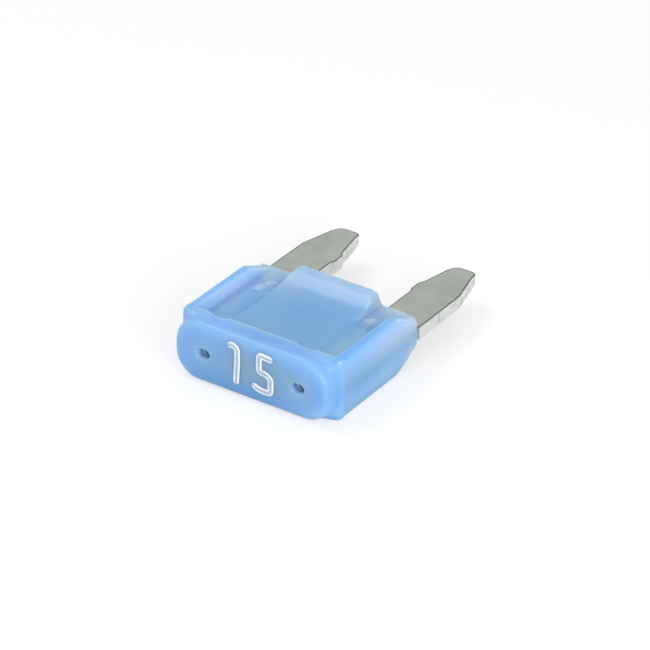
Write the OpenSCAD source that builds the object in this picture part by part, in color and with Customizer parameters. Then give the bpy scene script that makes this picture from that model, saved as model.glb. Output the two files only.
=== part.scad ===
// Miniature automotive blade fuse, lying flat as it comes to rest.
// X runs across the two blades, Y from the head to the blade tips, Z is the thickness.
// The origin is on the surface that the fuse lies on, under the middle of its box.

/* [Whole fuse] */
// Length from the face of the head to the blade tips
overall_l = 16.3; // [15.6:0.1:18]
// Length of the plastic housing, from the face of the head to the blades' end
housing_l = 8.95; // [8.6:0.05:9.6]
// Width over the head
housing_w = 10.9; // [10.7:0.1:11.6]
// Thickness over the head, the side rims and the mouth's lip
housing_t = 3.85; // [3.7:0.05:4.2]

/* [Head] */
// How far the boss with the test openings stands out of the head
boss_h = 0.7; // [0.5:0.05:0.9]
// How much narrower the boss is than the head, each side
boss_side_inset = 0.22; // [0.1:0.02:0.5]
// How much thinner the boss is than the head, each face
boss_face_inset = 0.02; // [0.01:0.01:0.15]
// Radius of the boss's four corners, seen from the end
boss_corner_r = 1.6; // [0.9:0.1:1.6]
// Radius that runs round the boss's front edge
boss_edge_r = 0.5; // [0.2:0.05:0.5]
// Length of the head's band behind the boss
band_l = 0.85; // [0.7:0.05:1.2]
// Radius of the band's two front corners, seen from above
band_corner_r = 0.85; // [0.5:0.05:0.9]
// Radius of the band's long edges
band_edge_r = 0.25; // [0.1:0.05:0.4]

/* [Body] */
// How far the head's band stands proud of the sides
side_step = 0.07; // [0.03:0.01:0.12]
// Draft of the outer sides, from the parting line at mid thickness
side_draft = 2; // [1:0.5:5]
// Radius of the rims' outer edges
rim_edge_r = 0.25; // [0.15:0.05:0.4]
// Width of a side rim, out to the side of the body
rim_w = 0.7; // [0.6:0.05:0.8]
// Radius of the rims' inner top edges
rim_inner_r = 0.2; // [0.1:0.05:0.25]
// Draft of a rim's inner wall
rim_inner_draft = 6; // [2:1:12]
// Depth of the recessed floor below the rims, each face
floor_depth = 0.85; // [0.75:0.02:0.89]
// Length of the slope at the blades' end of a rim
ramp_l = 1.9; // [1.5:0.1:2.3]
// Length of the flat shoulder past the slope
shoulder_l = 0.3; // [0.2:0.05:0.5]

/* [Window] */
// Width of plastic beside the chamber, at the foot of the raised window
window_side_wall = 0.28; // [0.24:0.02:0.4]
// Draft of the window's two sides
window_side_draft = 10; // [3:1:12]
// Height of the window above the floor where it leaves the head
window_near_h = 0.1; // [0.05:0.01:0.15]
// Height of the window above the floor where the flare begins
window_far_h = 0.25; // [0.2:0.01:0.35]
// Length of the curve that leads up to the mouth
flare_l = 1.25; // [1:0.05:1.5]
// Length of the mouth's lip, which is level with the head
lip_l = 0.55; // [0.4:0.05:0.7]
// Radius of the lip's outer edges
lip_edge_r = 0.2; // [0.1:0.05:0.3]
// Radius of the window's long corners at the mouth
window_corner_r = 0.6; // [0.2:0.05:0.7]
// Wall of the window
window_wall = 0.5; // [0.45:0.01:0.55]
// Gap between the link and the chamber's near end
chamber_end_gap = 0.7; // [0.3:0.1:0.8]

/* [Metal element] */
// Thickness of the stamped zinc strip
metal_t = 0.8; // [0.7:0.05:0.9]
// Width of a blade
blade_w = 2.8; // [2.6:0.05:2.9]
// How far a blade's outer edge lies inside the side of the head
blade_side_inset = 0; // [0:0.05:0.1]
// How much narrower a blade's root is on its inner edge
root_step = 0.12; // [0.05:0.01:0.2]
// Length of the slope from that root to the full width
step_l = 0.25; // [0.1:0.05:0.4]
// Length of a blade's straight part at full width
full_l = 0.8; // [0.4:0.1:1.4]
// Length of a blade's taper with its tip
taper_l = 3.05; // [2.4:0.05:3.3]
// How far the inner edge steps in where its taper begins
corner_step = 0.2; // [0.05:0.05:0.3]
// Length of that step
corner_l = 0.35; // [0.2:0.05:0.6]
// Width of a blade at its tip
tip_w = 1.55; // [1.2:0.05:1.8]
// Radius of the tip's two corners
tip_r = 0.5; // [0.2:0.05:0.6]
// Length over which the tip is coined thinner
coin_l = 0.9; // [0.6:0.1:1.2]
// Depth of that coining, each face
coin_depth = 0.14; // [0.05:0.01:0.2]
// Wall of plastic outside a terminal
terminal_cover = 0.42; // [0.38:0.01:0.5]
// Distance from the face of the head to a terminal's shoulder
terminal_start = 1.5; // [1.4:0.1:1.7]
// Width of a test tab
tab_w = 0.7; // [0.6:0.05:0.8]
// How deep a test tab's end lies below the face of the head
tab_depth = 0.5; // [0.35:0.05:0.6]
// How far a test tab's inner edge lies outside the terminal's inner edge
tab_inset = 0.08; // [0.02:0.02:0.3]
// Thickness of the thinned fusible link
link_t = 0.3; // [0.2:0.05:0.4]
// Width of the fusible link
link_w = 0.55; // [0.4:0.05:0.65]
// Gap between a bend of the link and the terminal beside it
link_gap = 0.7; // [0.4:0.05:0.8]
// How far the link runs into each terminal
link_root = 0.2; // [0.1:0.05:0.3]
// Radius of the link's two bends, at mid width
link_r = 0.85; // [0.7:0.05:0.9]
// Distance from the face of the head to the middle of the link
link_y = 4.9; // [4.7:0.1:5.1]

/* [Fits] */
// Clearance between the metal and the plastic, each side
fit = 0.05; // [0.03:0.01:0.06]
// Diameter of the holes that hold the element
stake_hole_d = 1.2; // [1:0.05:1.3]
// Distance from the face of the head to a hole
stake_y = 6.4; // [6.2:0.1:6.7]
// Length of the punch mark over a hole
punch_l = 0.85; // [0.7:0.05:1]
// Width of the punch mark
punch_w = 0.3; // [0.2:0.05:0.4]
// Depth of the punch mark
punch_depth = 0.15; // [0.1:0.05:0.25]
// Turn of the punch mark, in degrees
punch_turn = -4; // [-15:1:15]
// Width of a test opening
test_w = 0.75; // [0.7:0.05:0.95]
// Height of a test opening
test_h = 0.5; // [0.4:0.05:0.6]
// Width and depth of the lead-in round a test opening
test_lead = 0.16; // [0.1:0.02:0.24]

/* [Hidden] */

body_start = boss_h + band_l;
body_l = housing_l - body_start;
body_half_w = housing_w / 2 - side_step;
side_lean = housing_t / 2 * tan(side_draft);
body_top_half_w = body_half_w - side_lean;
floor_z = housing_t / 2 - floor_depth;
channel_half_w = housing_w / 2 - side_step - rim_w;
ramp_start = housing_l - shoulder_l - ramp_l;
flare_start = housing_l - lip_l - flare_l;
near_z = floor_z + window_near_h;
far_z = floor_z + window_far_h;
mouth_z = housing_t / 2;
slot_half_t = metal_t / 2 + fit;
blade_out = housing_w / 2 - blade_side_inset;
blade_in = blade_out - blade_w;
blade_x = (blade_in + blade_out) / 2;
root_in = blade_in + root_step;
root_end = overall_l - taper_l - full_l - step_l;
neck_out = body_half_w - terminal_cover;
stake_x = (root_in + neck_out) / 2;
tab_x = root_in + tab_inset + tab_w / 2;
chamber_half_w = root_in - fit;
window_half_w = chamber_half_w + window_side_wall;
tip_half_w = tip_w / 2;
link_reach = 2 * link_r;
link_turn_x = root_in - link_gap - link_r - link_w / 2;
chamber_start = link_y - link_reach - link_w / 2 - chamber_end_gap;
arc_steps = 8;
flare_steps = 12;
// How far a cut runs past the face that it opens
overrun = 1;
eps = 0.01;

// Points on a round corner, from one angle to another
function arc(cx, cy, r, a0, a1, steps = arc_steps) =
    [for (i = [0 : steps]) let (a = a0 + (a1 - a0) * i / steps) [cx + r * cos(a), cy + r * sin(a)]];

// A smooth rise from 0 to 1
function ease(t) = (1 - cos(180 * t)) / 2;

// A list of points turned over to the other side of its axis, in the opposite order
function flip_x(pts) = [for (i = [len(pts) - 1 : -1 : 0]) [-pts[i][0], pts[i][1]]];
function flip_y(pts) = [for (i = [len(pts) - 1 : -1 : 0]) [pts[i][0], -pts[i][1]]];

// Brings the fuse from its own mid plane down onto the surface
module lay_flat() {
    translate([0, -overall_l / 2, housing_t / 2])
        children();
}

module both_ends_of_x() {
    children();
    mirror([1, 0, 0])
        children();
}

module both_faces() {
    children();
    mirror([0, 0, 1])
        children();
}

// Extrudes an outline drawn in X and Z along Y
module along_y(start, length) {
    translate([0, start + length, 0])
        rotate([90, 0, 0])
            linear_extrude(length)
                children();
}

// Extrudes an outline drawn in Y and Z across the whole width
module across_x(width) {
    translate([-width / 2, 0, 0])
        rotate([90, 0, 90])
            linear_extrude(width)
                children();
}

// One rounded corner of the boss, standing on its own axis
module boss_corner() {
    rotate([-90, 0, 0])
        rotate_extrude($fn = 48)
            polygon(concat(
                [[0, boss_h + band_l / 2], [0, 0]],
                arc(boss_corner_r - boss_edge_r, boss_edge_r, boss_edge_r, -90, 0),
                [[boss_corner_r, boss_h + band_l / 2]]));
}

module head_boss() {
    cx = housing_w / 2 - boss_side_inset - boss_corner_r;
    cz = housing_t / 2 - boss_face_inset - boss_corner_r;
    hull()
        for (sx = [-1, 1], sz = [-1, 1])
            translate([sx * cx, 0, sz * cz])
                boss_corner();
}

// The band has round front corners, soft long edges and a square step at its back
module head_band() {
    half = concat(
        [[band_corner_r, 0]],
        arc(band_corner_r - side_lean - band_edge_r, housing_t / 2 - band_edge_r, band_edge_r, 0, 90));
    intersection() {
        hull()
            for (s = [-1, 1], run = [0, band_l])
                translate([s * (housing_w / 2 - band_corner_r), boss_h + band_corner_r + run, 0])
                    rotate_extrude($fn = 48)
                        polygon(concat(
                            [[0, -housing_t / 2]],
                            [for (p = flip_y(half)) if (p[1] < 0) p],
                            half,
                            [[0, housing_t / 2]]));
        translate([-housing_w / 2, 0, -housing_t / 2])
            cube([housing_w, body_start, housing_t]);
    }
}

// Section over the sides: widest at the parting line, with round outer edges
module side_section() {
    corner = arc(body_top_half_w - rim_edge_r, housing_t / 2 - rim_edge_r, rim_edge_r, 0, 90);
    right = concat([[body_half_w, 0]], corner);
    top = concat(right, flip_x(corner), [[-body_half_w, 0]]);
    polygon(concat(top, [for (p = flip_y(top)) if (p[1] < 0) p]));
}

// Section of the recess between the rims, with round top edges and drafted walls
module channel_section() {
    edge = arc(channel_half_w + rim_inner_r, housing_t / 2 - rim_inner_r, rim_inner_r, 180 - rim_inner_draft, 90);
    foot_x = edge[0][0] - (edge[0][1] - floor_z) * tan(rim_inner_draft);
    right = concat([[foot_x, floor_z]], edge, [[channel_half_w + rim_inner_r, housing_t / 2 + eps]]);
    polygon(concat(right, flip_x(right)));
}

// Side view of the rims, with a slope down to the shoulder at the blades' end
module rim_side_view() {
    top = [
        [body_start - band_l / 2, housing_t / 2],
        [ramp_start, housing_t / 2],
        [housing_l - shoulder_l, floor_z],
        [housing_l, floor_z]];
    polygon(concat(top, flip_y(top)));
}

module rimmed_body() {
    intersection() {
        difference() {
            along_y(body_start - band_l / 2, body_l + band_l / 2)
                side_section();
            both_faces()
                along_y(body_start, body_l + overrun)
                    channel_section();
        }
        across_x(housing_w)
            rim_side_view();
    }
}

// Height of the window's outer face along Y, up the flare to the mouth
function window_line(drop) = concat(
    [[body_start - drop, near_z - drop], [flare_start, far_z - drop]],
    [for (i = [1 : flare_steps])
        [flare_start + flare_l * i / flare_steps, far_z + (mouth_z - far_z) * ease(i / flare_steps) - drop]]);

module window_side_view() {
    lip = arc(housing_l - lip_edge_r, mouth_z - lip_edge_r, lip_edge_r, 90, 0);
    outline = concat(window_line(0), lip);
    polygon(concat(outline, flip_y(outline)));
}

module window_section() {
    lean = (mouth_z - floor_z) * tan(window_side_draft);
    corner = arc(window_half_w - lean - window_corner_r, mouth_z - window_corner_r, window_corner_r, 0, 90);
    top = concat([[window_half_w, floor_z - eps]], corner, flip_x(corner), [[-window_half_w, floor_z - eps]]);
    polygon(concat(top, flip_y(top)));
}

module window_panel() {
    intersection() {
        across_x(2 * window_half_w)
            window_side_view();
        along_y(body_start, body_l)
            window_section();
    }
}

// Chamber round the link, with the window's own line less its wall, open at the mouth
module chamber() {
    line = [for (p = window_line(0)) [max(p[0], chamber_start), p[1] - window_wall]];
    top = concat(line, [[housing_l + overrun, mouth_z - window_wall]]);
    across_x(2 * chamber_half_w)
        polygon(concat(top, flip_y(top)));
}

// Slots that the two terminals slide into from the blades' end
module terminal_slot() {
    translate([root_in - fit - eps, terminal_start - fit, -slot_half_t])
        cube([neck_out - root_in + 2 * fit + eps, housing_l - terminal_start + fit + overrun, 2 * slot_half_t]);
    translate([tab_x - tab_w / 2 - fit, tab_depth - fit, -slot_half_t])
        cube([tab_w + 2 * fit, terminal_start - tab_depth + fit, 2 * slot_half_t]);
}

module round_ended_slot(w, h) {
    for (s = [-1, 1])
        translate([s * (w - h) / 2, 0])
            circle(d = h, $fn = 32);
    square([w - h, h], center = true);
}

// Round-ended opening in the face of the head, with a short flared lead-in
module test_opening() {
    lead_w = test_w + 2 * test_lead;
    lead_h = test_h + 2 * test_lead;
    translate([tab_x, -eps, 0])
        rotate([-90, 0, 0]) {
            linear_extrude(tab_depth + eps)
                round_ended_slot(test_w, test_h);
            linear_extrude(test_lead, scale = [test_w / lead_w, test_h / lead_h])
                round_ended_slot(lead_w, lead_h);
        }
}

// Plastic pressed through the element's hole, with the mark that the punch left over it
module stake_pin() {
    translate([stake_x, stake_y, -slot_half_t - eps])
        cylinder(h = 2 * (slot_half_t + eps), d = stake_hole_d - 2 * fit, $fn = 32);
}

module punch_mark() {
    run = (punch_l - punch_w) / 2;
    translate([stake_x, stake_y, floor_z - punch_depth])
        rotate([0, 0, punch_turn]) {
            for (s = [-1, 1])
                translate([0, s * run, 0])
                    cylinder(h = punch_depth + overrun, d = punch_w, $fn = 24);
            translate([-punch_w / 2, -run, 0])
                cube([punch_w, 2 * run, punch_depth + overrun]);
        }
}

// One blue moulding: head, side rims, floor, flared window and the chamber inside
module housing() {
    color([0.5, 0.7, 0.92])
        lay_flat() {
            difference() {
                union() {
                    head_boss();
                    head_band();
                    rimmed_body();
                    window_panel();
                }
                chamber();
                both_ends_of_x() {
                    terminal_slot();
                    test_opening();
                    both_faces()
                        punch_mark();
                }
            }
            both_ends_of_x()
                stake_pin();
        }
}

// Outline of one terminal with its blade, seen from above
module terminal_outline() {
    tip_y = overall_l;
    bend_y = overall_l - taper_l;
    polygon(concat(
        [[tab_x - tab_w / 2, tab_depth], [tab_x + tab_w / 2, tab_depth],
         [tab_x + tab_w / 2, terminal_start], [neck_out, terminal_start],
         [neck_out, housing_l], [blade_out, housing_l], [blade_out, bend_y]],
        arc(blade_x + tip_half_w - tip_r, tip_y - tip_r, tip_r, 0, 90),
        arc(blade_x - tip_half_w + tip_r, tip_y - tip_r, tip_r, 90, 180),
        [[blade_in + corner_step, bend_y + corner_l], [blade_in, bend_y], [blade_in, root_end + step_l],
         [root_in, root_end], [root_in, terminal_start], [tab_x - tab_w / 2, terminal_start]]));
}

// Side view of the strip, coined thinner towards the tips
module strip_side_view() {
    top = [
        [0, metal_t / 2],
        [overall_l - coin_l, metal_t / 2],
        [overall_l, metal_t / 2 - coin_depth]];
    polygon(concat(top, flip_y(top)));
}

module terminals() {
    intersection() {
        both_ends_of_x()
            difference() {
                translate([0, 0, -metal_t / 2])
                    linear_extrude(metal_t)
                        terminal_outline();
                translate([stake_x, stake_y, -metal_t])
                    cylinder(h = 2 * metal_t, d = stake_hole_d, $fn = 32);
            }
        across_x(housing_w)
            strip_side_view();
    }
}

// One bend of the link: half a ring, open towards +X
module link_bend() {
    difference() {
        circle(r = link_r + link_w / 2, $fn = 48);
        circle(r = link_r - link_w / 2, $fn = 48);
        translate([0, -2 * link_r])
            square([2 * link_r, 4 * link_r]);
    }
}

module link_run(x0, x1) {
    translate([x0, -link_w / 2])
        square([x1 - x0, link_w]);
}

// S-shaped link: three runs joined by two bends, between the terminals' inner edges
module fusible_link() {
    grip = root_in + link_root;
    translate([0, link_y, -link_t / 2])
        linear_extrude(link_t) {
            translate([0, -link_reach])
                link_run(-grip, link_turn_x);
            translate([link_turn_x, -link_r])
                mirror([1, 0])
                    link_bend();
            link_run(-link_turn_x, link_turn_x);
            translate([-link_turn_x, link_r])
                link_bend();
            translate([0, link_reach])
                link_run(-link_turn_x, grip);
        }
}

// One stamped strip: test tabs, terminals, fusible link and the two blades
module fuse_element() {
    color([0.66, 0.67, 0.64])
        lay_flat() {
            terminals();
            fusible_link();
        }
}

housing();
fuse_element();
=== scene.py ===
import math
import bmesh
import bpy
import numpy
from mathutils import Matrix, Vector
from mathutils.noise import noise as solidNoise
from mathutils.bvhtree import BVHTree


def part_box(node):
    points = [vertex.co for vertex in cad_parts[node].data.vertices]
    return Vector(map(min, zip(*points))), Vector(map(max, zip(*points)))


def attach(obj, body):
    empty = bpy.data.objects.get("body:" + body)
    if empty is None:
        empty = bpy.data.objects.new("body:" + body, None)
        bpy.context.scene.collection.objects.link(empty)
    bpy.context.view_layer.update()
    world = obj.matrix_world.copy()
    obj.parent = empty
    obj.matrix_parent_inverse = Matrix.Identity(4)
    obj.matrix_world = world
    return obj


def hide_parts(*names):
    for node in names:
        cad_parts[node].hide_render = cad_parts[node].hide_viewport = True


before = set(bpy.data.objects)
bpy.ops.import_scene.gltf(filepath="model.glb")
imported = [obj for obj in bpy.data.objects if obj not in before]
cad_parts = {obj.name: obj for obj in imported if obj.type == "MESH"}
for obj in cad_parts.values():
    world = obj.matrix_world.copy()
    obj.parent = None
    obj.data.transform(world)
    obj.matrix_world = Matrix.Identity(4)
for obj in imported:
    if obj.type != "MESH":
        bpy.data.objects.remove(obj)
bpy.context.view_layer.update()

# Miniature blade fuse, lying flat. X across the blades, Y towards their tips, Z up. Lengths in metres.
mm = 0.001
weldReach = 0.001 * mm      # points closer than this are one
housingLow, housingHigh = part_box("housing")
midZ = (housingLow.z + housingHigh.z) / 2
print("frame loaded, housing", [round(v / mm, 2) for v in housingHigh - housingLow])


# Small helpers

def linkMesh(name, mesh):
    obj = bpy.data.objects.new(name, mesh)
    bpy.context.scene.collection.objects.link(obj)
    return obj


def mergedCopy(nodeName, name):
    # the CAD mesh is loose triangles, so a copy is welded before anything else
    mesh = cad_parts[nodeName].data.copy()
    mesh.materials.clear()
    bm = bmesh.new()
    bm.from_mesh(mesh)
    bmesh.ops.remove_doubles(bm, verts=bm.verts, dist=weldReach)
    bm.to_mesh(mesh)
    bm.free()
    mesh.name = name
    return linkMesh(name, mesh)


def freezeModifiers(obj):
    # the evaluated result becomes a plain mesh and the modifiers go
    depsgraph = bpy.context.evaluated_depsgraph_get()
    depsgraph.update()
    mesh = bpy.data.meshes.new_from_object(obj.evaluated_get(depsgraph))
    obj.modifiers.clear()
    obj.data = mesh
    mesh.name = obj.name
    return obj


def triangleCount(obj):
    return sum(len(p.vertices) - 2 for p in obj.data.polygons)


def setInputs(modifier, tree, values):
    # the sockets are addressed by identifier, found from their names
    idents = {s.name: s.identifier for s in tree.interface.items_tree if s.in_out == "INPUT"}
    for name, value in values.items():
        modifier[idents[name]] = value


class NodeSheet:
    # a short way to add nodes and wires to a tree
    def __init__(self, tree):
        self.tree = tree

    def add(self, kind, **settings):
        node = self.tree.nodes.new(kind)
        for key, value in settings.items():
            setattr(node, key, value)
        return node

    def wire(self, source, target):
        self.tree.links.new(source, target)

    def math(self, operation, a, b=None, clamp=False):
        node = self.add("ShaderNodeMath", operation=operation, use_clamp=clamp)
        for socket, value in zip(node.inputs, (a, b)):
            if value is None:
                continue
            if isinstance(value, (int, float)):
                socket.default_value = value
            else:
                self.wire(value, socket)
        return node.outputs[0]


# Materials

def newMaterial(name):
    material = bpy.data.materials.new(name)
    material.use_nodes = True
    material.node_tree.nodes.clear()
    sheet = NodeSheet(material.node_tree)
    shader = sheet.add("ShaderNodeBsdfPrincipled")
    out = sheet.add("ShaderNodeOutputMaterial")
    sheet.wire(shader.outputs[0], out.inputs["Surface"])
    coords = sheet.add("ShaderNodeTexCoord")
    return material, sheet, shader, coords.outputs["Object"]


def stretched(sheet, coords, scale):
    mapping = sheet.add("ShaderNodeMapping")
    mapping.inputs["Scale"].default_value = scale
    sheet.wire(coords, mapping.inputs["Vector"])
    return mapping.outputs[0]


def noise(sheet, vector, scale, detail=3, roughness=0.5):
    # its values lie round 0.5, so remap spreads them before they mix anything
    node = sheet.add("ShaderNodeTexNoise")
    node.inputs["Scale"].default_value = scale
    node.inputs["Detail"].default_value = detail
    node.inputs["Roughness"].default_value = roughness
    sheet.wire(vector, node.inputs["Vector"])
    return node.outputs["Fac"]


def ramp(sheet, value, stops):
    node = sheet.add("ShaderNodeValToRGB")
    elements = node.color_ramp.elements
    while len(elements) < len(stops):
        elements.new(0.5)
    for element, (place, colour) in zip(elements, stops):
        element.position = place
        element.color = (*colour, 1)
    sheet.wire(value, node.inputs[0])
    return node.outputs[0]


def remap(sheet, value, low, high, toLow, toHigh):
    node = sheet.add("ShaderNodeMapRange")
    for name, number in (("From Min", low), ("From Max", high), ("To Min", toLow), ("To Max", toHigh)):
        node.inputs[name].default_value = number
    sheet.wire(value, node.inputs["Value"])
    return node.outputs[0]


def mixColour(sheet, factor, a, b):
    node = sheet.add("ShaderNodeMix", data_type="RGBA")
    for socket, value in ((node.inputs[0], factor), (node.inputs[6], a), (node.inputs[7], b)):
        if isinstance(value, (int, float)):
            socket.default_value = value
        elif isinstance(value, tuple):
            socket.default_value = (*value, 1)
        else:
            sheet.wire(value, socket)
    return node.outputs[2]


def bump(sheet, heights, shader):
    # heights is a list of (value, strength, depth in metres), laid over each other
    normal = None
    for height, strength, depth in heights:
        node = sheet.add("ShaderNodeBump")
        node.inputs["Strength"].default_value = strength
        node.inputs["Distance"].default_value = depth
        sheet.wire(height, node.inputs["Height"])
        if normal:
            sheet.wire(normal, node.inputs["Normal"])
        normal = node.outputs[0]
    sheet.wire(normal, shader.inputs["Normal"])


plastic = {
    "tint": (0.205, 0.44, 0.87),        # milky light blue, linear
    "denserTint": (0.185, 0.415, 0.85), # where the melt is a little denser
    "thinTint": (0.40, 0.58, 0.86),     # painted light: pale where the wall is thin, as light shines through it
    "edgeTint": (0.31, 0.55, 0.92),     # bright where light comes in from the sides too
    "deepTint": (0.085, 0.305, 0.76),   # painted shade: deeper blue where less light reaches
    "recessTint": (0.36, 0.61, 1.0),    # bright, as the recessed floors get less light
    "paleTint": (0.49, 0.58, 0.84),     # pale lavender where light gathers
    "greyTint": (0.24, 0.41, 0.56),     # where the metal behind shades it
    "creaseTint": (0.13, 0.30, 0.66),   # painted shade down in fine corners
    "ridgeTint": (0.74, 0.85, 0.97),    # light lines along sharp edges: scuffs, and painted highlight where the edges catch the light
    "scatter": 2.0 * mm,                # how far light wanders inside
    "scatterShares": (0.6, 0.8, 1.0),   # of that, for red, green and blue
    "clearness": 0.10,                  # share of light that passes through
    "refraction": 1.5,
    "gloss": (0.28, 0.40),              # roughness, low and high
    "cloudScale": 260,                  # denser and thinner places in the melt
    "flowScale": 900,                   # flow marks, drawn out along the part
    "flowStretch": (1, 0.35, 1),
    "scuffAndGlintScale": 2600,
    "waves": (1100, 0.35, 0.06 * mm),   # scale, strength and depth
    "grain": (9000, 0.25, 0.012 * mm),
}


def makePlastic():
    material, sheet, shader, coords = newMaterial("milkyBluePlastic")
    cloud = noise(sheet, coords, plastic["cloudScale"])
    flow = noise(sheet, stretched(sheet, coords, plastic["flowStretch"]), plastic["flowScale"], 4)
    tint = mixColour(sheet, remap(sheet, cloud, 0.35, 0.65, 0, 1), plastic["tint"], plastic["denserTint"])
    scuffsAndGlints = noise(sheet, coords, plastic["scuffAndGlintScale"], 4, 0.7)
    # each mask mixes in its tint: painted light through thin walls, from the sides, on recessed floors and
    # where light gathers; painted shade where less light reaches, behind the metal and in fine corners;
    # scuffs and painted highlight along ridges
    for name in ("thin", "edge", "recess", "deep", "pale", "grey", "crease", "ridge"):
        amount = sheet.add("ShaderNodeAttribute", attribute_name=name).outputs["Fac"]
        if name == "ridge":
            amount = sheet.math("MULTIPLY", amount, remap(sheet, scuffsAndGlints, 0.42, 0.60, 0.08, 1))
        tint = mixColour(sheet, amount, tint, plastic[name + "Tint"])
    sheet.wire(tint, shader.inputs["Base Color"])
    shader.inputs["Subsurface Weight"].default_value = 1.0
    shader.inputs["Subsurface Radius"].default_value = plastic["scatterShares"]
    shader.inputs["Subsurface Scale"].default_value = plastic["scatter"]
    shader.inputs["Transmission Weight"].default_value = plastic["clearness"]
    shader.inputs["IOR"].default_value = plastic["refraction"]
    sheet.wire(remap(sheet, flow, 0.3, 0.7, *plastic["gloss"]), shader.inputs["Roughness"])
    relief = []
    for scale, strength, depth in (plastic["waves"], plastic["grain"]):
        relief.append((noise(sheet, coords, scale, 2), strength, depth))
    bump(sheet, relief, shader)
    return material


zinc = {
    "rolled": (0.40, 0.43, 0.395),      # satin face of the strip
    "rolledDark": (0.33, 0.36, 0.33),
    "shearedAndLit": (0.80, 0.83, 0.80),      # bright cut edge: partly the cut's own finish, partly painted reflection
    "torn": (0.36, 0.38, 0.36),         # duller marks on the cut edge
    "rollover": (0.085, 0.095, 0.085),  # painted shade: a thin dark rim where the face turns down
    "rolloverPaleSpots": (0.17, 0.185, 0.165),
    "tabEndShade": (0.08, 0.12, 0.17),         # painted shade on the end of a test tab, down in its opening
    "tabEndPlasticBlue": (0.27, 0.41, 0.64),     # beside it, painted reflection of the plastic's blue
    "tabMiddle": 3.2 * mm,              # a test tab's middle, from the middle of the fuse
    "tabEndShadeBand": (0.16 * mm, 0.26 * mm), # half width of the band of painted shade, and where it has faded out
    "tabEndShadeWander": 0.2 * mm,
    "gloss": (0.34, 0.48),              # roughness, low and high
    "grainScale": 16000,                # rolling marks, drawn out along the blades
    "grainStretch": (1, 0.08, 1),
    "patchScale": 700,
    "speckScale": 5200,
    "markScale": 2600,                  # torn marks on the cut edge
    "markStretch": (1, 1, 0.55),
    "tabEndShadeScale": 6000,
    "rolloverSpotScale": 4200,
}


def makeZinc():
    material, sheet, shader, coords = newMaterial("satinZinc")
    grain = noise(sheet, stretched(sheet, coords, zinc["grainStretch"]), zinc["grainScale"], 4, 0.6)
    patches = noise(sheet, coords, zinc["patchScale"], 4, 0.6)
    specks = noise(sheet, coords, zinc["speckScale"], 3, 0.7)
    face = mixColour(sheet, remap(sheet, patches, 0.35, 0.7, 0, 1), zinc["rolled"], zinc["rolledDark"])
    face = mixColour(sheet, remap(sheet, specks, 0.66, 0.74, 0, 0.35), face, zinc["shearedAndLit"])
    marks = noise(sheet, stretched(sheet, coords, zinc["markStretch"]), zinc["markScale"], 4, 0.65)
    side = mixColour(sheet, remap(sheet, marks, 0.52, 0.70, 0, 0.85), zinc["shearedAndLit"], zinc["torn"])
    # the cut sides are told from the faces by how upright the surface is, and painted brighter than the
    # faces: partly the cut's own finish, partly painted reflection
    geometry = sheet.add("ShaderNodeNewGeometry")
    split = sheet.add("ShaderNodeSeparateXYZ")
    sheet.wire(geometry.outputs["True Normal"], split.inputs[0])
    upright = sheet.math("ABSOLUTE", split.outputs["Z"])
    tone = mixColour(sheet, remap(sheet, upright, 0.5, 0.8, 0, 1), side, face)
    sheet.wire(tone, shader.inputs["Base Color"])
    shader.inputs["Metallic"].default_value = 1.0
    sheet.wire(remap(sheet, grain, 0.3, 0.7, *zinc["gloss"]), shader.inputs["Roughness"])
    bump(sheet, [(grain, 0.25, 0.006 * mm), (specks, 0.3, 0.008 * mm)], shader)
    return material


def makeShadedTabEnd():
    # the end of a test tab: painted shade in a slanting band, with the plastic's blue painted beside it as
    # reflected light
    material, sheet, shader, coords = newMaterial("shadedTabEnd")
    spots = noise(sheet, coords, zinc["tabEndShadeScale"], 3, 0.6)
    split = sheet.add("ShaderNodeSeparateXYZ")
    sheet.wire(coords, split.inputs[0])
    side = sheet.math("SIGN", split.outputs["X"])
    across = sheet.math("SUBTRACT", split.outputs["X"], sheet.math("MULTIPLY", side, zinc["tabMiddle"]))
    up = sheet.math("SUBTRACT", split.outputs["Z"], midZ)
    slant = sheet.math("ABSOLUTE", sheet.math("ADD", across, up))
    drift = sheet.math("MULTIPLY", sheet.math("SUBTRACT", spots, 0.5), zinc["tabEndShadeWander"])
    wander = sheet.math("ADD", slant, drift)
    outside = remap(sheet, wander, *zinc["tabEndShadeBand"], 0, 1)
    tone = mixColour(sheet, outside, zinc["tabEndShade"], zinc["tabEndPlasticBlue"])
    sheet.wire(tone, shader.inputs["Base Color"])
    shader.inputs["Metallic"].default_value = 0.0
    shader.inputs["Roughness"].default_value = 0.55
    bump(sheet, [(spots, 0.6, 0.02 * mm)], shader)
    return material


def makeRollover():
    material, sheet, shader, coords = newMaterial("zincRollover")
    spots = noise(sheet, coords, zinc["rolloverSpotScale"], 3, 0.6)
    # painted shade for the rollover, broken up by paler spots
    tone = mixColour(sheet, remap(sheet, spots, 0.4, 0.62, 0, 1), zinc["rollover"], zinc["rolloverPaleSpots"])
    sheet.wire(tone, shader.inputs["Base Color"])
    shader.inputs["Metallic"].default_value = 0.35
    sheet.wire(remap(sheet, spots, 0.3, 0.7, 0.5, 0.65), shader.inputs["Roughness"])
    bump(sheet, [(spots, 0.3, 0.006 * mm)], shader)
    return material


numberWhite = {
    # colour across the stroke, from its middle (0) to its edge (1): painted highlight on the ridges, darker
    # in the hollow
    "tones": [(0.10, (0.34, 0.45, 0.58)), (0.42, (0.72, 0.80, 0.87)), (1.0, (0.82, 0.88, 0.93))],
    "wearScale": 3400,
    "wearShare": 0.7,           # how far wear moves those tones
    "scatter": 0.2 * mm,
    "scatterShares": (0.8, 0.9, 1.0),
}


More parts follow.
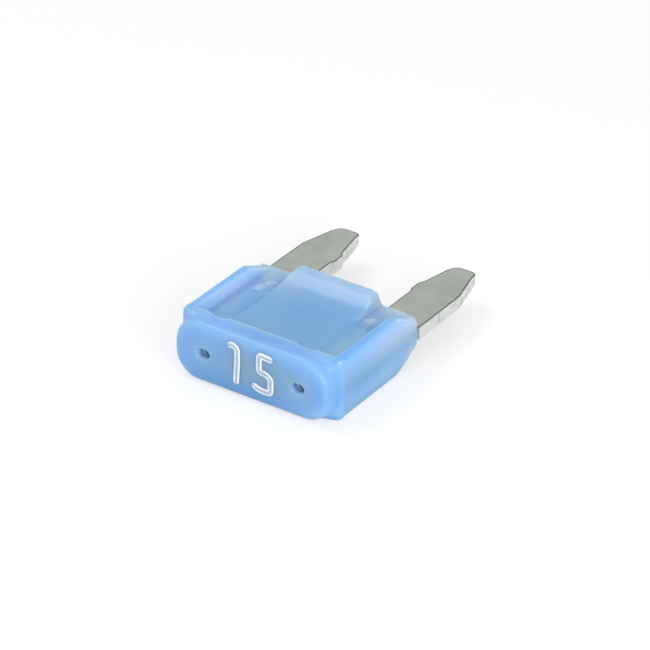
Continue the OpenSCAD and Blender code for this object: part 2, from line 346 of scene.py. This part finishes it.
def makeNumberWhite():
    # the stroke is painted bright on its two ridges, as highlight where they catch the light, and darker
    # and bluer in the hollow between them, where the stroke is lower
    material, sheet, shader, coords = newMaterial("numberWhite")
    across = sheet.add("ShaderNodeAttribute", attribute_name="across").outputs["Fac"]
    wear = noise(sheet, coords, numberWhite["wearScale"], 4, 0.6)
    drift = sheet.math("MULTIPLY", sheet.math("SUBTRACT", wear, 0.5), numberWhite["wearShare"])
    tone = ramp(sheet, sheet.math("ADD", across, drift), numberWhite["tones"])
    sheet.wire(tone, shader.inputs["Base Color"])
    shader.inputs["Subsurface Weight"].default_value = 0.3
    shader.inputs["Subsurface Radius"].default_value = numberWhite["scatterShares"]
    shader.inputs["Subsurface Scale"].default_value = numberWhite["scatter"]
    sheet.wire(remap(sheet, wear, 0.3, 0.7, 0.35, 0.55), shader.inputs["Roughness"])
    bump(sheet, [(wear, 0.3, 0.02 * mm)], shader)
    return material


plasticMaterial = makePlastic()
zincMaterial = makeZinc()
rolloverMaterial = makeRollover()
shadedTabEndMaterial = makeShadedTabEnd()
numberMaterial = makeNumberWhite()
print("materials made")


# Housing: the moulding with soft edges and the burrs that the staking punch raised

shell = {
    "voxel": 0.05 * mm,         # grid of the remesh
    "softening": 6,             # rounds of smoothing
    "keepShare": 0.30,          # share of triangles that the thinning keeps
    "faceSetBack": 0.05 * mm,   # the head's face steps back to leave room for the number
    "faceDepth": 0.5 * mm,      # length over which that step back fades out
    "meltRounds": 110,          # extra smoothing where the mould's corners run into each other
    "meltFade": 0.25 * mm,      # over which a melted zone ends
    # each zone: from and to across, along from the head's face and up from the middle, in millimetres,
    # then its share; a zone counts on both faces
    "meltZones": [
        ((-6.0, 6.0), (-0.5, 0.7), (0.0, 2.5), 0.25),       # the head's front and its edge
        ((4.25, 6.0), (0.15, 1.1), (0.0, 2.5), 1.0),        # corner beside the right end of the boss
        ((-6.0, -4.25), (0.15, 0.9), (0.0, 2.5), 0.5),      # and beside its left end
        ((-3.55, -2.5), (1.2, 6.2), (0.9, 2.5), 1.0),       # the window's left edge runs into the floor
        ((2.3, 3.4), (1.2, 6.4), (0.9, 2.5), 0.8),          # and so does its right edge
        ((-2.4, 2.5), (6.2, 8.0), (1.1, 2.5), 0.8),         # foot of the flare
        ((-4.25, -3.5), (5.7, 6.6), (0.3, 1.4), 0.3),       # left punched slot
        ((3.45, 4.35), (5.9, 6.9), (0.3, 1.4), 0.3),        # and the right one
        ((4.6, 6.0), (8.2, 10.0), (0.8, 2.5), 0.6),         # far right corner
    ],
    "crispHole": ((2.6, 3.8), 0.65),    # kept as it is round each test opening: across and up
}
burr = {
    # low lumps of plastic that the staking punch pushed up: across, along from the head's face,
    # half width, half length and height, in millimetres
    "left": [
        (-3.98, 6.38, 0.22, 0.20, 0.12),
        (-3.80, 6.62, 0.24, 0.24, 0.15),
        (-3.66, 6.36, 0.14, 0.16, 0.09),
        (-3.70, 7.12, 0.18, 0.20, 0.13),
        (-3.52, 7.36, 0.20, 0.18, 0.11),
    ],
    "right": [
        (3.28, 6.86, 0.24, 0.22, 0.13),
        (3.52, 7.08, 0.26, 0.24, 0.16),
        (3.66, 6.84, 0.16, 0.16, 0.10),
        (3.20, 6.50, 0.16, 0.16, 0.10),
        (3.80, 5.90, 0.18, 0.18, 0.07),
    ],
    "floorDrop": 0.85 * mm,     # floor below the rims
    "lumpSize": 0.18 * mm,      # usual size, which sets how far a lump's surface wanders
    "roughness": 0.8,           # as a share of that size
    "seed": 7,
}


def burrTree():
    # one rough lump on each point, stretched by the point's own size
    tree = bpy.data.node_groups.new("stakeBurrs", "GeometryNodeTree")
    sheet = NodeSheet(tree)
    tree.interface.new_socket("Geometry", in_out="INPUT", socket_type="NodeSocketGeometry")
    for name, kind in (("Lump size", "Float"), ("Roughness", "Float"), ("Seed", "Int"),
                       ("Material", "Material")):
        tree.interface.new_socket(name, in_out="INPUT", socket_type="NodeSocket" + kind)
    tree.interface.new_socket("Geometry", in_out="OUTPUT", socket_type="NodeSocketGeometry")
    given = sheet.add("NodeGroupInput").outputs
    size = sheet.add("GeometryNodeInputNamedAttribute", data_type="FLOAT_VECTOR")
    size.inputs["Name"].default_value = "size"
    ball = sheet.add("GeometryNodeMeshIcoSphere")
    ball.inputs["Radius"].default_value = 1.0
    ball.inputs["Subdivisions"].default_value = 4
    place = sheet.add("GeometryNodeInstanceOnPoints")
    sheet.wire(given["Geometry"], place.inputs["Points"])
    sheet.wire(ball.outputs[0], place.inputs["Instance"])
    sheet.wire(size.outputs["Attribute"], place.inputs["Scale"])
    real = sheet.add("GeometryNodeRealizeInstances")
    sheet.wire(place.outputs[0], real.inputs[0])
    # waves a little longer than a lump push its surface in and out
    rough = sheet.add("ShaderNodeTexNoise", noise_dimensions="4D")
    sheet.wire(sheet.math("DIVIDE", 0.8, given["Lump size"]), rough.inputs["Scale"])
    sheet.wire(given["Seed"], rough.inputs["W"])
    centre = sheet.add("ShaderNodeVectorMath", operation="SUBTRACT")
    centre.inputs[1].default_value = (0.5, 0.5, 0.5)
    sheet.wire(rough.outputs["Color"], centre.inputs[0])
    amount = sheet.add("ShaderNodeVectorMath", operation="SCALE")
    sheet.wire(centre.outputs[0], amount.inputs[0])
    sheet.wire(sheet.math("MULTIPLY", given["Lump size"], given["Roughness"]), amount.inputs["Scale"])
    lump = sheet.add("GeometryNodeSetPosition")
    sheet.wire(real.outputs[0], lump.inputs["Geometry"])
    sheet.wire(amount.outputs[0], lump.inputs["Offset"])
    paint = sheet.add("GeometryNodeSetMaterial")
    sheet.wire(lump.outputs[0], paint.inputs[0])
    sheet.wire(given["Material"], paint.inputs["Material"])
    out = sheet.add("NodeGroupOutput")
    sheet.wire(paint.outputs[0], out.inputs[0])
    return tree


def makeBurrs():
    mesh = bpy.data.meshes.new("stakeBurrs")
    spots = [(spot, face) for spot in burr["left"] + burr["right"] for face in (-1, 1)]
    floorHeight = housingHigh.z - midZ - burr["floorDrop"]
    mesh.from_pydata([(across * mm, housingLow.y + along * mm, midZ + face * floorHeight)
                      for (across, along, wide, long, high), face in spots], [], [])
    sizes = mesh.attributes.new("size", "FLOAT_VECTOR", "POINT")
    for item, ((across, along, wide, long, high), face) in zip(sizes.data, spots):
        item.vector = (wide * mm, long * mm, high * mm)
    obj = linkMesh("stakeBurrs", mesh)
    tree = burrTree()
    modifier = obj.modifiers.new("stakeBurrs", "NODES")
    modifier.node_group = tree
    setInputs(modifier, tree, {
        "Lump size": burr["lumpSize"],
        "Roughness": burr["roughness"],
        "Seed": burr["seed"],
        "Material": plasticMaterial,
    })
    return freezeModifiers(obj)


rayStart = 0.01 * mm        # a ray starts this far off the surface it leaves


def rayReach(tree, spot, direction, limit):
    # how far one can go before meeting a surface, and where
    place, normal, index, distance = tree.ray_cast(spot + direction * rayStart, direction, limit)
    if place is None:
        return limit, None, None
    return distance, place, normal


def outerReach(tree, spot, ways, limit):
    # mean way to an outer face as a share of the limit, where the hollow's own walls count as far off
    total = 0
    for way in ways:
        distance, place, normal = rayReach(tree, spot, way, limit)
        total += limit if place and isInside(place, normal) else distance
    return total / len(ways) / limit


def isInside(place, normal):
    # true on the walls of the chamber and of the terminals' slots
    x, z = abs(place.x), abs(place.z - midZ)
    if place.y < housingLow.y + shade["headSolid"]:
        return False
    inSlot = z < shade["slotHalf"] and x < shade["slotReach"]
    inChamber = x < shade["chamberReach"] and normal.z * (place.z - midZ) <= 0
    return inSlot or inChamber


def ringOf(normal, tilt, count=4):
    # directions round a normal, leaning away from it by so many degrees
    aside = normal.orthogonal().normalized()
    other = normal.cross(aside)
    lean, rise = math.sin(math.radians(tilt)), math.cos(math.radians(tilt))
    turns = [2 * math.pi * (k + tilt / 90) / count for k in range(count)]
    return [(aside * math.cos(t) + other * math.sin(t)) * lean + normal * rise for t in turns]


shade = {
    # each tilt is how far the rays lean, in degrees
    "thick": 1.6 * mm,          # wall that shows the plain tint
    "thinTilt": 30,
    "thinShare": 0.35,
    "thinPower": 1.5,
    "edgeReach": 2.0 * mm,      # how far light from a side face reaches
    "edgeTilts": (40, 72),
    "edgeShare": 1.05,
    "corner": 0.35 * mm,        # reach of a fine corner's shade
    "creaseTilt": 65,
    "creaseGain": 2,
    "creaseShare": 0.15,
    "creaseStart": 1.3 * mm,    # fine corners nearer to the head's face stay plain
    "ridgeReach": 0.22 * mm,
    "ridgeTilt": 72,
    "ridgeRays": 8,
    "ridgeShare": 0.65,
    "ridgeGain": 4.5,
    "ridgeStart": 0.6,
    "nickDepth": 0.07 * mm,     # small nicks along the ridges
    "nickScale": 3600,
    "nickDetail": 2.3,          # a finer set of nicks, half as deep
    # the hollow inside, from the head's face and the middle planes
    "headSolid": 0.6 * mm,
    "slotHalf": 0.5 * mm,
    "slotReach": 5.1 * mm,
    "chamberReach": 2.8 * mm,
    # soft zones of painted light and shade: place and half sizes (across, along from the head's face, up
    # from the middle)
    # in millimetres, then the share, and whether the underside has the same zone
    "zones": {
        "deep": [
            ((-0.6, 0.0, -1.5), (3.6, 0.8, 0.9), 1.0, False),
            ((4.9, 0.0, 0.0), (0.8, 0.8, 1.6), 0.36, False),
            ((0.5, 1.0, 1.9), (2.2, 0.5, 0.5), 0.5, True),
            ((0.3, 5.4, 1.2), (1.9, 1.7, 0.9), 0.38, True),
            ((5.45, 4.5, -0.25), (0.5, 5.0, 0.45), 0.35, False),
            ((5.1, 4.0, 1.95), (0.4, 5.0, 0.45), 0.75, True),
            ((4.9, 7.9, 1.6), (0.7, 0.9, 0.6), 0.75, True),
            ((-5.0, 4.5, 1.95), (0.4, 4.0, 0.35), 0.6, True),
        ],
        "recess": [
            ((4.0, 3.6, 0.95), (0.8, 3.2, 0.5), 0.75, True),
            ((-4.2, 4.6, 1.0), (0.5, 3.6, 0.6), 0.3, True),
            ((-3.0, 0.3, 0.1), (0.40, 0.35, 0.40), 0.6, False),
            ((3.4, 0.3, 0.1), (0.40, 0.35, 0.40), 0.6, False),
        ],
        "pale": [
            ((0.3, 8.5, 1.55), (3.0, 1.0, 0.6), 0.85, True),
            ((-2.3, 7.3, 1.3), (0.9, 0.9, 0.7), 0.35, True),
            ((5.45, 6.9, 1.0), (0.6, 3.2, 0.9), 0.6, False),
            ((5.45, 6.8, -1.0), (0.5, 2.0, 0.5), 0.4, False),
            ((4.3, 8.6, 1.0), (1.3, 0.8, 0.8), 0.55, True),
            ((-4.3, 8.6, 1.0), (1.3, 0.8, 0.8), 0.4, True),
            ((4.9, 0.0, -1.3), (1.0, 0.8, 0.9), 0.25, False),
            ((-4.5, 4.6, 1.5), (0.45, 3.6, 0.45), 0.9, True),
            ((-3.82, 6.56, 1.2), (0.36, 0.42, 0.4), 0.55, True),
            ((-3.62, 7.22, 1.2), (0.32, 0.34, 0.4), 0.55, True),
            ((3.42, 6.99, 1.2), (0.46, 0.44, 0.4), 0.7, True),
        ],
        "grey": [
            ((0.2, 0.0, 0.2), (1.8, 0.8, 1.1), 0.45, False),
            ((0.0, 0.0, 0.0), (5.6, 0.7, 2.4), 0.45, False),
            ((2.6, 0.0, 0.5), (0.9, 0.6, 0.6), 0.3, False),
        ],
    },
}


def zoneShare(name, spot):
    total = 0
    for centre, half, share, both in shade["zones"][name]:
        place = (spot.x / mm, (spot.y - housingLow.y) / mm, (spot.z - midZ) / mm)
        place = (place[0], place[1], abs(place[2]) if both else place[2])
        total += share * math.exp(-sum(((p - c) / h) ** 2 for p, c, h in zip(place, centre, half)))
    return min(1.0, total)


def storeShading(obj):
    # on each vertex, the masks for the painted light and shade: a thin wall, a free edge, a tight corner, a
    # sharp ridge and the soft zones
    mesh = obj.data
    bm = bmesh.new()
    bm.from_mesh(mesh)
    tree = BVHTree.FromBMesh(bm)
    bm.free()
    names = ("thin", "edge", "crease", "ridge", *shade["zones"])
    values = {name: [] for name in names}
    for vertex in mesh.vertices:
        spot, normal = vertex.co, vertex.normal
        thin = 1 - outerReach(tree, spot, ringOf(-normal, shade["thinTilt"]), shade["thick"])
        values["thin"].append(shade["thinShare"] * thin ** shade["thinPower"])
        ways = [way for tilt in shade["edgeTilts"] for way in ringOf(-normal, tilt)]
        edge = 1 - outerReach(tree, spot, ways, shade["edgeReach"])
        values["edge"].append(shade["edgeShare"] * edge)
        ways = ringOf(normal, shade["creaseTilt"])
        gaps = [rayReach(tree, spot, way, shade["corner"])[0] for way in ways]
        closed = 1 - sum(gaps) / len(gaps) / shade["corner"]
        started = spot.y - housingLow.y > shade["creaseStart"]
        values["crease"].append(shade["creaseShare"] * min(1.0, shade["creaseGain"] * closed) * started)
        ways = ringOf(-normal, shade["ridgeTilt"], shade["ridgeRays"])
        cuts = [rayReach(tree, spot, way, shade["ridgeReach"])[0] for way in ways]
        sharp = 1 - sum(cuts) / len(cuts) / shade["ridgeReach"]
        strong = shade["ridgeGain"] * sharp - shade["ridgeStart"]
        values["ridge"].append(shade["ridgeShare"] * max(0.0, min(1.0, strong)))
        for name in shade["zones"]:
            values[name].append(zoneShare(name, spot))
    for name in names:
        mesh.attributes.new(name, "FLOAT", "POINT").data.foreach_set("value", values[name])
    # nicks along the ridges, all worked out before the first vertex moves
    places = []
    for vertex, ridge in zip(mesh.vertices, values["ridge"]):
        coarse = solidNoise(vertex.co * shade["nickScale"])
        fine = solidNoise(vertex.co * shade["nickScale"] * shade["nickDetail"])
        depth = shade["nickDepth"] * ridge * max(0.0, coarse + 0.5 * fine)
        places.extend(vertex.co - vertex.normal * depth)
    mesh.vertices.foreach_set("co", places)
    mesh.update()


def meltShares(places):
    # how much each vertex takes part in the extra smoothing
    across, along = places[:, 0] / mm, (places[:, 1] - housingLow.y) / mm
    up = numpy.abs(places[:, 2] - midZ) / mm
    fade = shell["meltFade"] / mm
    shares = numpy.zeros(len(places))
    for *limits, share in shell["meltZones"]:
        inside = share
        for value, (low, high) in zip((across, along, up), limits):
            pastLow = numpy.clip((value - low) / fade + 0.5, 0, 1)
            beforeHigh = numpy.clip((high - value) / fade + 0.5, 0, 1)
            inside = inside * pastLow * beforeHigh
        shares = numpy.maximum(shares, inside)
    (near, far), high = shell["crispHole"]
    shares[(numpy.abs(across) > near) & (numpy.abs(across) < far) & (up < high)] = 0
    return shares


def soften(mesh, rounds, shares=None):
    # each round moves a vertex half way to the mean of its neighbours, or less where its share is less
    count = len(mesh.vertices)
    places = numpy.empty(count * 3)
    mesh.vertices.foreach_get("co", places)
    places = places.reshape(-1, 3)
    ends = numpy.empty(len(mesh.edges) * 2, dtype=numpy.int32)
    mesh.edges.foreach_get("vertices", ends)
    first, second = ends.reshape(-1, 2).T
    degree = numpy.maximum(numpy.bincount(ends, minlength=count), 1)
    pull = 0.5 * (numpy.ones(count) if shares is None else shares(places))
    for turn in range(rounds):
        for axis in range(3):
            values = places[:, axis]
            total = numpy.bincount(first, values[second], count)
            total += numpy.bincount(second, values[first], count)
            places[:, axis] = values + pull * (total / degree - values)
    mesh.vertices.foreach_set("co", places.ravel())
    mesh.update()


def makeHousing():
    obj = mergedCopy("housing", "housingShell")
    burrs = makeBurrs()
    bm = bmesh.new()
    bm.from_mesh(obj.data)
    bm.from_mesh(burrs.data)
    bm.to_mesh(obj.data)
    bm.free()
    bpy.data.objects.remove(burrs)
    remesh = obj.modifiers.new("remesh", "REMESH")
    remesh.mode = "VOXEL"
    remesh.voxel_size = shell["voxel"]
    freezeModifiers(obj)
    soften(obj.data, shell["softening"])
    soften(obj.data, shell["meltRounds"], meltShares)
    thin = obj.modifiers.new("thin", "DECIMATE")
    thin.ratio = shell["keepShare"]
    freezeModifiers(obj)
    for vertex in obj.data.vertices:
        depth = (vertex.co.y - housingLow.y) / shell["faceDepth"]
        vertex.co.y += shell["faceSetBack"] * max(0.0, 1 - depth)
    obj.data.materials.clear()
    obj.data.materials.append(plasticMaterial)
    obj.data.shade_smooth()
    storeShading(obj)
    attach(obj, "root")
    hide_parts("housing")
    print("housing shell", triangleCount(obj), "triangles")


makeHousing()


# Metal strip: the stamped zinc with the small rollover that the die leaves along its edges

strip = {
    "rollover": 0.06 * mm,
    "edgeLine": 0.09 * mm,      # painted shade line on the faces inside the rollover
    "segments": 3,
    "tabEnd": 0.02 * mm,        # faces this close to the strip's near end are the tabs' ends, in painted shade
    "sharpAngle": 35,           # degrees, past which an edge gets the rollover
    "flatAngle": 1,             # degrees, up to which loose triangles are one flat face
    "faceUpright": 0.6,         # normals steeper than this belong to the two faces
}


def makeStrip():
    obj = mergedCopy("fuse_element", "metalStrip")
    bm = bmesh.new()
    bm.from_mesh(obj.data)
    flatAngle = math.radians(strip["flatAngle"])
    bmesh.ops.dissolve_limit(bm, angle_limit=flatAngle, verts=bm.verts, edges=bm.edges)
    bm.to_mesh(obj.data)
    bm.free()
    # read back, so that the merged faces have their own normals
    bm = bmesh.new()
    bm.from_mesh(obj.data)
    flat = [face for face in bm.faces if abs(face.normal.z) > strip["faceUpright"]]
    # a thin band inside each face gets the rollover's painted shade
    rims = bmesh.ops.inset_region(bm, faces=flat, thickness=strip["edgeLine"], use_even_offset=True)
    for face in rims["faces"]:
        face.material_index = 1
    bm.to_mesh(obj.data)
    bm.free()
    obj.data.materials.append(zincMaterial)
    obj.data.materials.append(rolloverMaterial)
    bevel = obj.modifiers.new("rollover", "BEVEL")
    bevel.width = strip["rollover"]
    bevel.segments = strip["segments"]
    bevel.limit_method = "ANGLE"
    bevel.angle_limit = math.radians(strip["sharpAngle"])
    # the rounded rollover gets the same painted shade
    bevel.material = 1
    bevel.harden_normals = True
    freezeModifiers(obj)
    obj.data.materials.append(shadedTabEndMaterial)
    nearEnd = min(v.co.y for v in obj.data.vertices)
    for face in obj.data.polygons:
        if face.center.y < nearEnd + strip["tabEnd"]:
            face.material_index = 2
    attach(obj, "root")
    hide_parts("fuse_element")
    print("metal strip", triangleCount(obj), "triangles")


makeStrip()


# Rating number: two plain digits, each a stroke with two ridges, swept along its own path

number = {
    "strokeWidth": 0.43 * mm,
    "ridgeHeight": 0.045 * mm,
    "hollowHeight": 0.026 * mm,
    "step": 0.03 * mm,          # spacing of the sections along a stroke
    "cornerRadius": 0.2 * mm,
    "cornerPoints": 6,
    "sink": 0.05 * mm,          # the feet go this far into the face
    "sectionPoints": 25,
    "smallestEnd": 0.05,        # share of the width that is left at a stroke's very end
    "weld": 0.0005 * mm,
    # height of a ridge, from the stroke's middle (0) to its edge (1)
    "ridgeShape": [(0.0, 0.0), (0.25, 0.15), (0.5, 0.95), (0.72, 1.0), (1.0, 0.0)],
    "hollowPower": 8.0,         # a higher power keeps the hollow flat for longer
    "footPower": 12.0,
    # each stroke is a chain of points (across, up) in millimetres from the middle of the face
    "strokes": [
        [(-1.46, 1.27), (-1.10, 1.34), (-0.83, 1.16), (-0.82, 0.45), (-0.90, -1.10)],
        [(1.56, 1.22), (0.64, 1.30), (0.64, 0.26), (1.12, 0.20), (1.44, -0.02), (1.43, -0.92),
         (0.90, -0.94), (0.55, -0.88), (0.20, -0.68)],
    ],
}


def strokeTree():
    # sweeps a two-ridged section along the curve and rounds the ends of each stroke
    tree = bpy.data.node_groups.new("numberStrokes", "GeometryNodeTree")
    sheet = NodeSheet(tree)
    tree.interface.new_socket("Geometry", in_out="INPUT", socket_type="NodeSocketGeometry")
    for name, kind in (("Width", "Float"), ("Ridge", "Float"), ("Hollow", "Float"), ("Sink", "Float"),
                       ("Corner", "Float"), ("Step", "Float"), ("Material", "Material")):
        tree.interface.new_socket(name, in_out="INPUT", socket_type="NodeSocket" + kind)
    tree.interface.new_socket("Geometry", in_out="OUTPUT", socket_type="NodeSocketGeometry")
    given = sheet.add("NodeGroupInput").outputs
    fillet = sheet.add("GeometryNodeFilletCurve", mode="POLY")
    fillet.inputs["Count"].default_value = number["cornerPoints"]
    sheet.wire(given["Geometry"], fillet.inputs[0])
    sheet.wire(given["Corner"], fillet.inputs["Radius"])
    evenly = sheet.add("GeometryNodeResampleCurve", mode="LENGTH")
    sheet.wire(fillet.outputs[0], evenly.inputs[0])
    sheet.wire(given["Step"], evenly.inputs["Length"])
    facing = sheet.add("GeometryNodeSetCurveNormal", mode="FREE")
    facing.inputs["Normal"].default_value = (0, -1, 0)
    sheet.wire(evenly.outputs[0], facing.inputs[0])
    # radius falls to nothing over the last half width, as a round pen would
    along = sheet.add("GeometryNodeSplineParameter")
    total = sheet.add("GeometryNodeSplineLength")
    left = sheet.math("SUBTRACT", total.outputs["Length"], along.outputs["Length"])
    near = sheet.math("MINIMUM", along.outputs["Length"], left)
    part = sheet.math("DIVIDE", near, sheet.math("MULTIPLY", given["Width"], 0.5), clamp=True)
    gap = sheet.math("SUBTRACT", 1.0, part)
    penShare = sheet.math("SQRT", sheet.math("SUBTRACT", 1.0, sheet.math("MULTIPLY", gap, gap)))
    # the section, drawn from one foot over both ridges to the other foot
    section = sheet.add("GeometryNodeCurvePrimitiveLine")
    cut = sheet.add("GeometryNodeResampleCurve", mode="COUNT")
    cut.inputs["Count"].default_value = number["sectionPoints"]
    sheet.wire(section.outputs[0], cut.inputs[0])
    run = sheet.add("GeometryNodeSplineParameter")
    side = sheet.math("SUBTRACT", sheet.math("MULTIPLY", run.outputs["Factor"], 2.0), 1.0)
    reach = sheet.math("ABSOLUTE", side)
    ridge = sheet.add("ShaderNodeFloatCurve")
    points = ridge.mapping.curves[0].points
    middle, *between, edge = number["ridgeShape"]
    points[0].location = middle
    for place, height in between:
        points.new(place, height)
    points[-1].location = edge
    ridge.mapping.update()
    sheet.wire(reach, ridge.inputs["Value"])
    lift = sheet.math("MULTIPLY", ridge.outputs[0], sheet.math("SUBTRACT", given["Ridge"], given["Hollow"]))
    fall = sheet.math("POWER", reach, number["hollowPower"])
    floor = sheet.math("MULTIPLY", given["Hollow"], sheet.math("SUBTRACT", 1.0, fall))
    foot = sheet.math("MULTIPLY", given["Sink"], sheet.math("POWER", reach, number["footPower"]))
    height = sheet.math("SUBTRACT", sheet.math("ADD", lift, floor), foot)
    spot = sheet.add("ShaderNodeCombineXYZ")
    sheet.wire(height, spot.inputs[0])
    sheet.wire(sheet.math("MULTIPLY", side, sheet.math("MULTIPLY", given["Width"], 0.5)), spot.inputs[1])
    shape = sheet.add("GeometryNodeSetPosition")
    sheet.wire(cut.outputs[0], shape.inputs["Geometry"])
    sheet.wire(spot.outputs[0], shape.inputs["Position"])
    mark = sheet.add("GeometryNodeStoreNamedAttribute", data_type="FLOAT", domain="POINT")
    mark.inputs["Name"].default_value = "across"
    sheet.wire(shape.outputs[0], mark.inputs["Geometry"])
    sheet.wire(reach, mark.inputs["Value"])
    closed = sheet.add("GeometryNodeSetSplineCyclic")
    closed.inputs["Cyclic"].default_value = True
    sheet.wire(mark.outputs[0], closed.inputs[0])
    sweep = sheet.add("GeometryNodeCurveToMesh")
    sweep.inputs["Fill Caps"].default_value = True
    sheet.wire(facing.outputs[0], sweep.inputs["Curve"])
    sheet.wire(sheet.math("MAXIMUM", penShare, number["smallestEnd"]), sweep.inputs["Scale"])
    sheet.wire(closed.outputs[0], sweep.inputs["Profile Curve"])
    real = sheet.add("GeometryNodeRealizeInstances")
    sheet.wire(sweep.outputs[0], real.inputs[0])
    paint = sheet.add("GeometryNodeSetMaterial")
    sheet.wire(real.outputs[0], paint.inputs[0])
    sheet.wire(given["Material"], paint.inputs["Material"])
    out = sheet.add("NodeGroupOutput")
    sheet.wire(paint.outputs[0], out.inputs[0])
    return tree


def makeNumber():
    curve = bpy.data.curves.new("ratingNumber", "CURVE")
    curve.dimensions = "3D"
    faceY = housingLow.y + shell["faceSetBack"]
    for stroke in number["strokes"]:
        spline = curve.splines.new("POLY")
        spline.points.add(len(stroke) - 1)
        for point, (across, up) in zip(spline.points, stroke):
            point.co = (across * mm, faceY, midZ + up * mm, 1)
    path = bpy.data.objects.new("numberPath", curve)
    bpy.context.scene.collection.objects.link(path)
    tree = strokeTree()
    modifier = path.modifiers.new("numberStrokes", "NODES")
    modifier.node_group = tree
    setInputs(modifier, tree, {
        "Width": number["strokeWidth"],
        "Ridge": number["ridgeHeight"],
        "Hollow": number["hollowHeight"],
        "Sink": number["sink"],
        "Corner": number["cornerRadius"],
        "Step": number["step"],
        "Material": numberMaterial,
    })
    depsgraph = bpy.context.evaluated_depsgraph_get()
    mesh = bpy.data.meshes.new_from_object(path.evaluated_get(depsgraph))
    bpy.data.objects.remove(path)
    obj = linkMesh("ratingNumber", mesh)
    bm = bmesh.new()
    bm.from_mesh(mesh)
    bmesh.ops.remove_doubles(bm, verts=bm.verts, dist=number["weld"])
    bmesh.ops.recalc_face_normals(bm, faces=bm.faces)
    bm.to_mesh(mesh)
    bm.free()
    mesh.shade_smooth()
    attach(obj, "root")
    low = [min(v.co[i] for v in mesh.vertices) / mm for i in range(3)]
    high = [max(v.co[i] for v in mesh.vertices) / mm for i in range(3)]
    print("rating number", triangleCount(obj), "triangles", [round(v, 3) for v in low + high])


makeNumber()


# Floor, light and camera

studio = {
    "floorSize": 0.6,
    "floorWhite": 0.85,
    "worldLevel": 0.72,
    "shadowShare": 0.42,    # how much of the floor's own light the camera sees
    "lampTarget": (0, 0, 2 * mm),
    # each lamp: place, width and power
    "lamps": {
        "overheadSoftbox": ((-0.07, -0.012, 0.131), 0.06, 0.035),
        "rightFill": ((0.12, -0.085, 0.06), 0.12, 0.15),
    },
}


def makeFloor():
    bpy.ops.mesh.primitive_plane_add(size=studio["floorSize"], location=(0, 0, 0))
    floor = bpy.context.object
    floor.name = "paleFloor"
    material = bpy.data.materials.new("paleFloor")
    material.use_nodes = True
    material.node_tree.nodes.clear()
    sheet = NodeSheet(material.node_tree)
    lit = sheet.add("ShaderNodeBsdfDiffuse")
    glow = sheet.add("ShaderNodeEmission")
    seen = sheet.add("ShaderNodeLightPath").outputs["Is Camera Ray"]
    sheet.wire(mixColour(sheet, seen, (studio["floorWhite"],) * 3, (1.0, 1.0, 1.0)), lit.inputs[0])
    share = sheet.math("MULTIPLY", seen, 1 - studio["shadowShare"])
    mix = sheet.add("ShaderNodeMixShader")
    sheet.wire(share, mix.inputs[0])
    sheet.wire(lit.outputs[0], mix.inputs[1])
    sheet.wire(glow.outputs[0], mix.inputs[2])
    out = sheet.add("ShaderNodeOutputMaterial")
    sheet.wire(mix.outputs[0], out.inputs["Surface"])
    floor.data.materials.append(material)


def makeWorld():
    world = bpy.data.worlds.new("studioWorld")
    bpy.context.scene.world = world
    world.use_nodes = True
    world.node_tree.nodes.clear()
    sheet = NodeSheet(world.node_tree)
    lightPath = sheet.add("ShaderNodeLightPath")
    shown = sheet.math("MAXIMUM", lightPath.outputs["Is Camera Ray"], lightPath.outputs["Is Glossy Ray"])
    shown = sheet.math("MAXIMUM", shown, lightPath.outputs["Is Transmission Ray"])
    ambient = sheet.add("ShaderNodeBackground")
    ambient.inputs["Strength"].default_value = studio["worldLevel"]
    backdrop = sheet.add("ShaderNodeBackground")
    mix = sheet.add("ShaderNodeMixShader")
    sheet.wire(shown, mix.inputs[0])
    sheet.wire(ambient.outputs[0], mix.inputs[1])
    sheet.wire(backdrop.outputs[0], mix.inputs[2])
    out = sheet.add("ShaderNodeOutputWorld")
    sheet.wire(mix.outputs[0], out.inputs["Surface"])
    for node in (ambient, backdrop):
        node.inputs["Color"].default_value = (1, 1, 1, 1)


def makeLamp(name, place, size, power):
    lamp = bpy.data.lights.new(name, "AREA")
    lamp.shape = "DISK"
    lamp.size = size
    lamp.energy = power
    obj = bpy.data.objects.new(name, lamp)
    bpy.context.scene.collection.objects.link(obj)
    obj.location = place
    aim = Vector(studio["lampTarget"]) - Vector(place)
    obj.rotation_euler = aim.to_track_quat("-Z", "Y").to_euler()


lens = {
    "yaw": -33.65,          # degrees, how the view turns from straight along Y
    "pitch": 30.68,         # degrees, how far it looks down
    "roll": 0.82,
    "distance": 200 * mm,
    "target": (0.548 * mm, -1.420 * mm, 1.9 * mm),
    "focal": 3529.1,        # in pixels of the 650 wide picture
    "picture": 650,
    "sensor": 36,
    "nearClip": 10 * mm,
    "farClip": 5,
}


def makeCamera():
    yaw, pitch, roll = (math.radians(lens[k]) for k in ("yaw", "pitch", "roll"))
    ahead = Vector((math.sin(yaw) * math.cos(pitch), math.cos(yaw) * math.cos(pitch), -math.sin(pitch)))
    level = Vector((math.cos(yaw), -math.sin(yaw), 0))
    upright = level.cross(ahead)
    right = level * math.cos(roll) + upright * math.sin(roll)
    up = upright * math.cos(roll) - level * math.sin(roll)
    data = bpy.data.cameras.new("photoCamera")
    data.sensor_width = lens["sensor"]
    data.lens = lens["focal"] / lens["picture"] * lens["sensor"]
    data.clip_start = lens["nearClip"]
    data.clip_end = lens["farClip"]
    camera = bpy.data.objects.new("photoCamera", data)
    bpy.context.scene.collection.objects.link(camera)
    turn = Matrix((right, up, -ahead)).transposed().to_4x4()
    turn.translation = Vector(lens["target"]) - ahead * lens["distance"]
    camera.matrix_world = turn
    bpy.context.scene.camera = camera


makeFloor()
makeWorld()
for lampName, (place, width, power) in studio["lamps"].items():
    makeLamp(lampName, place, width, power)
makeCamera()
bpy.context.scene.view_settings.view_transform = "Standard"
print("stage, light and camera set")
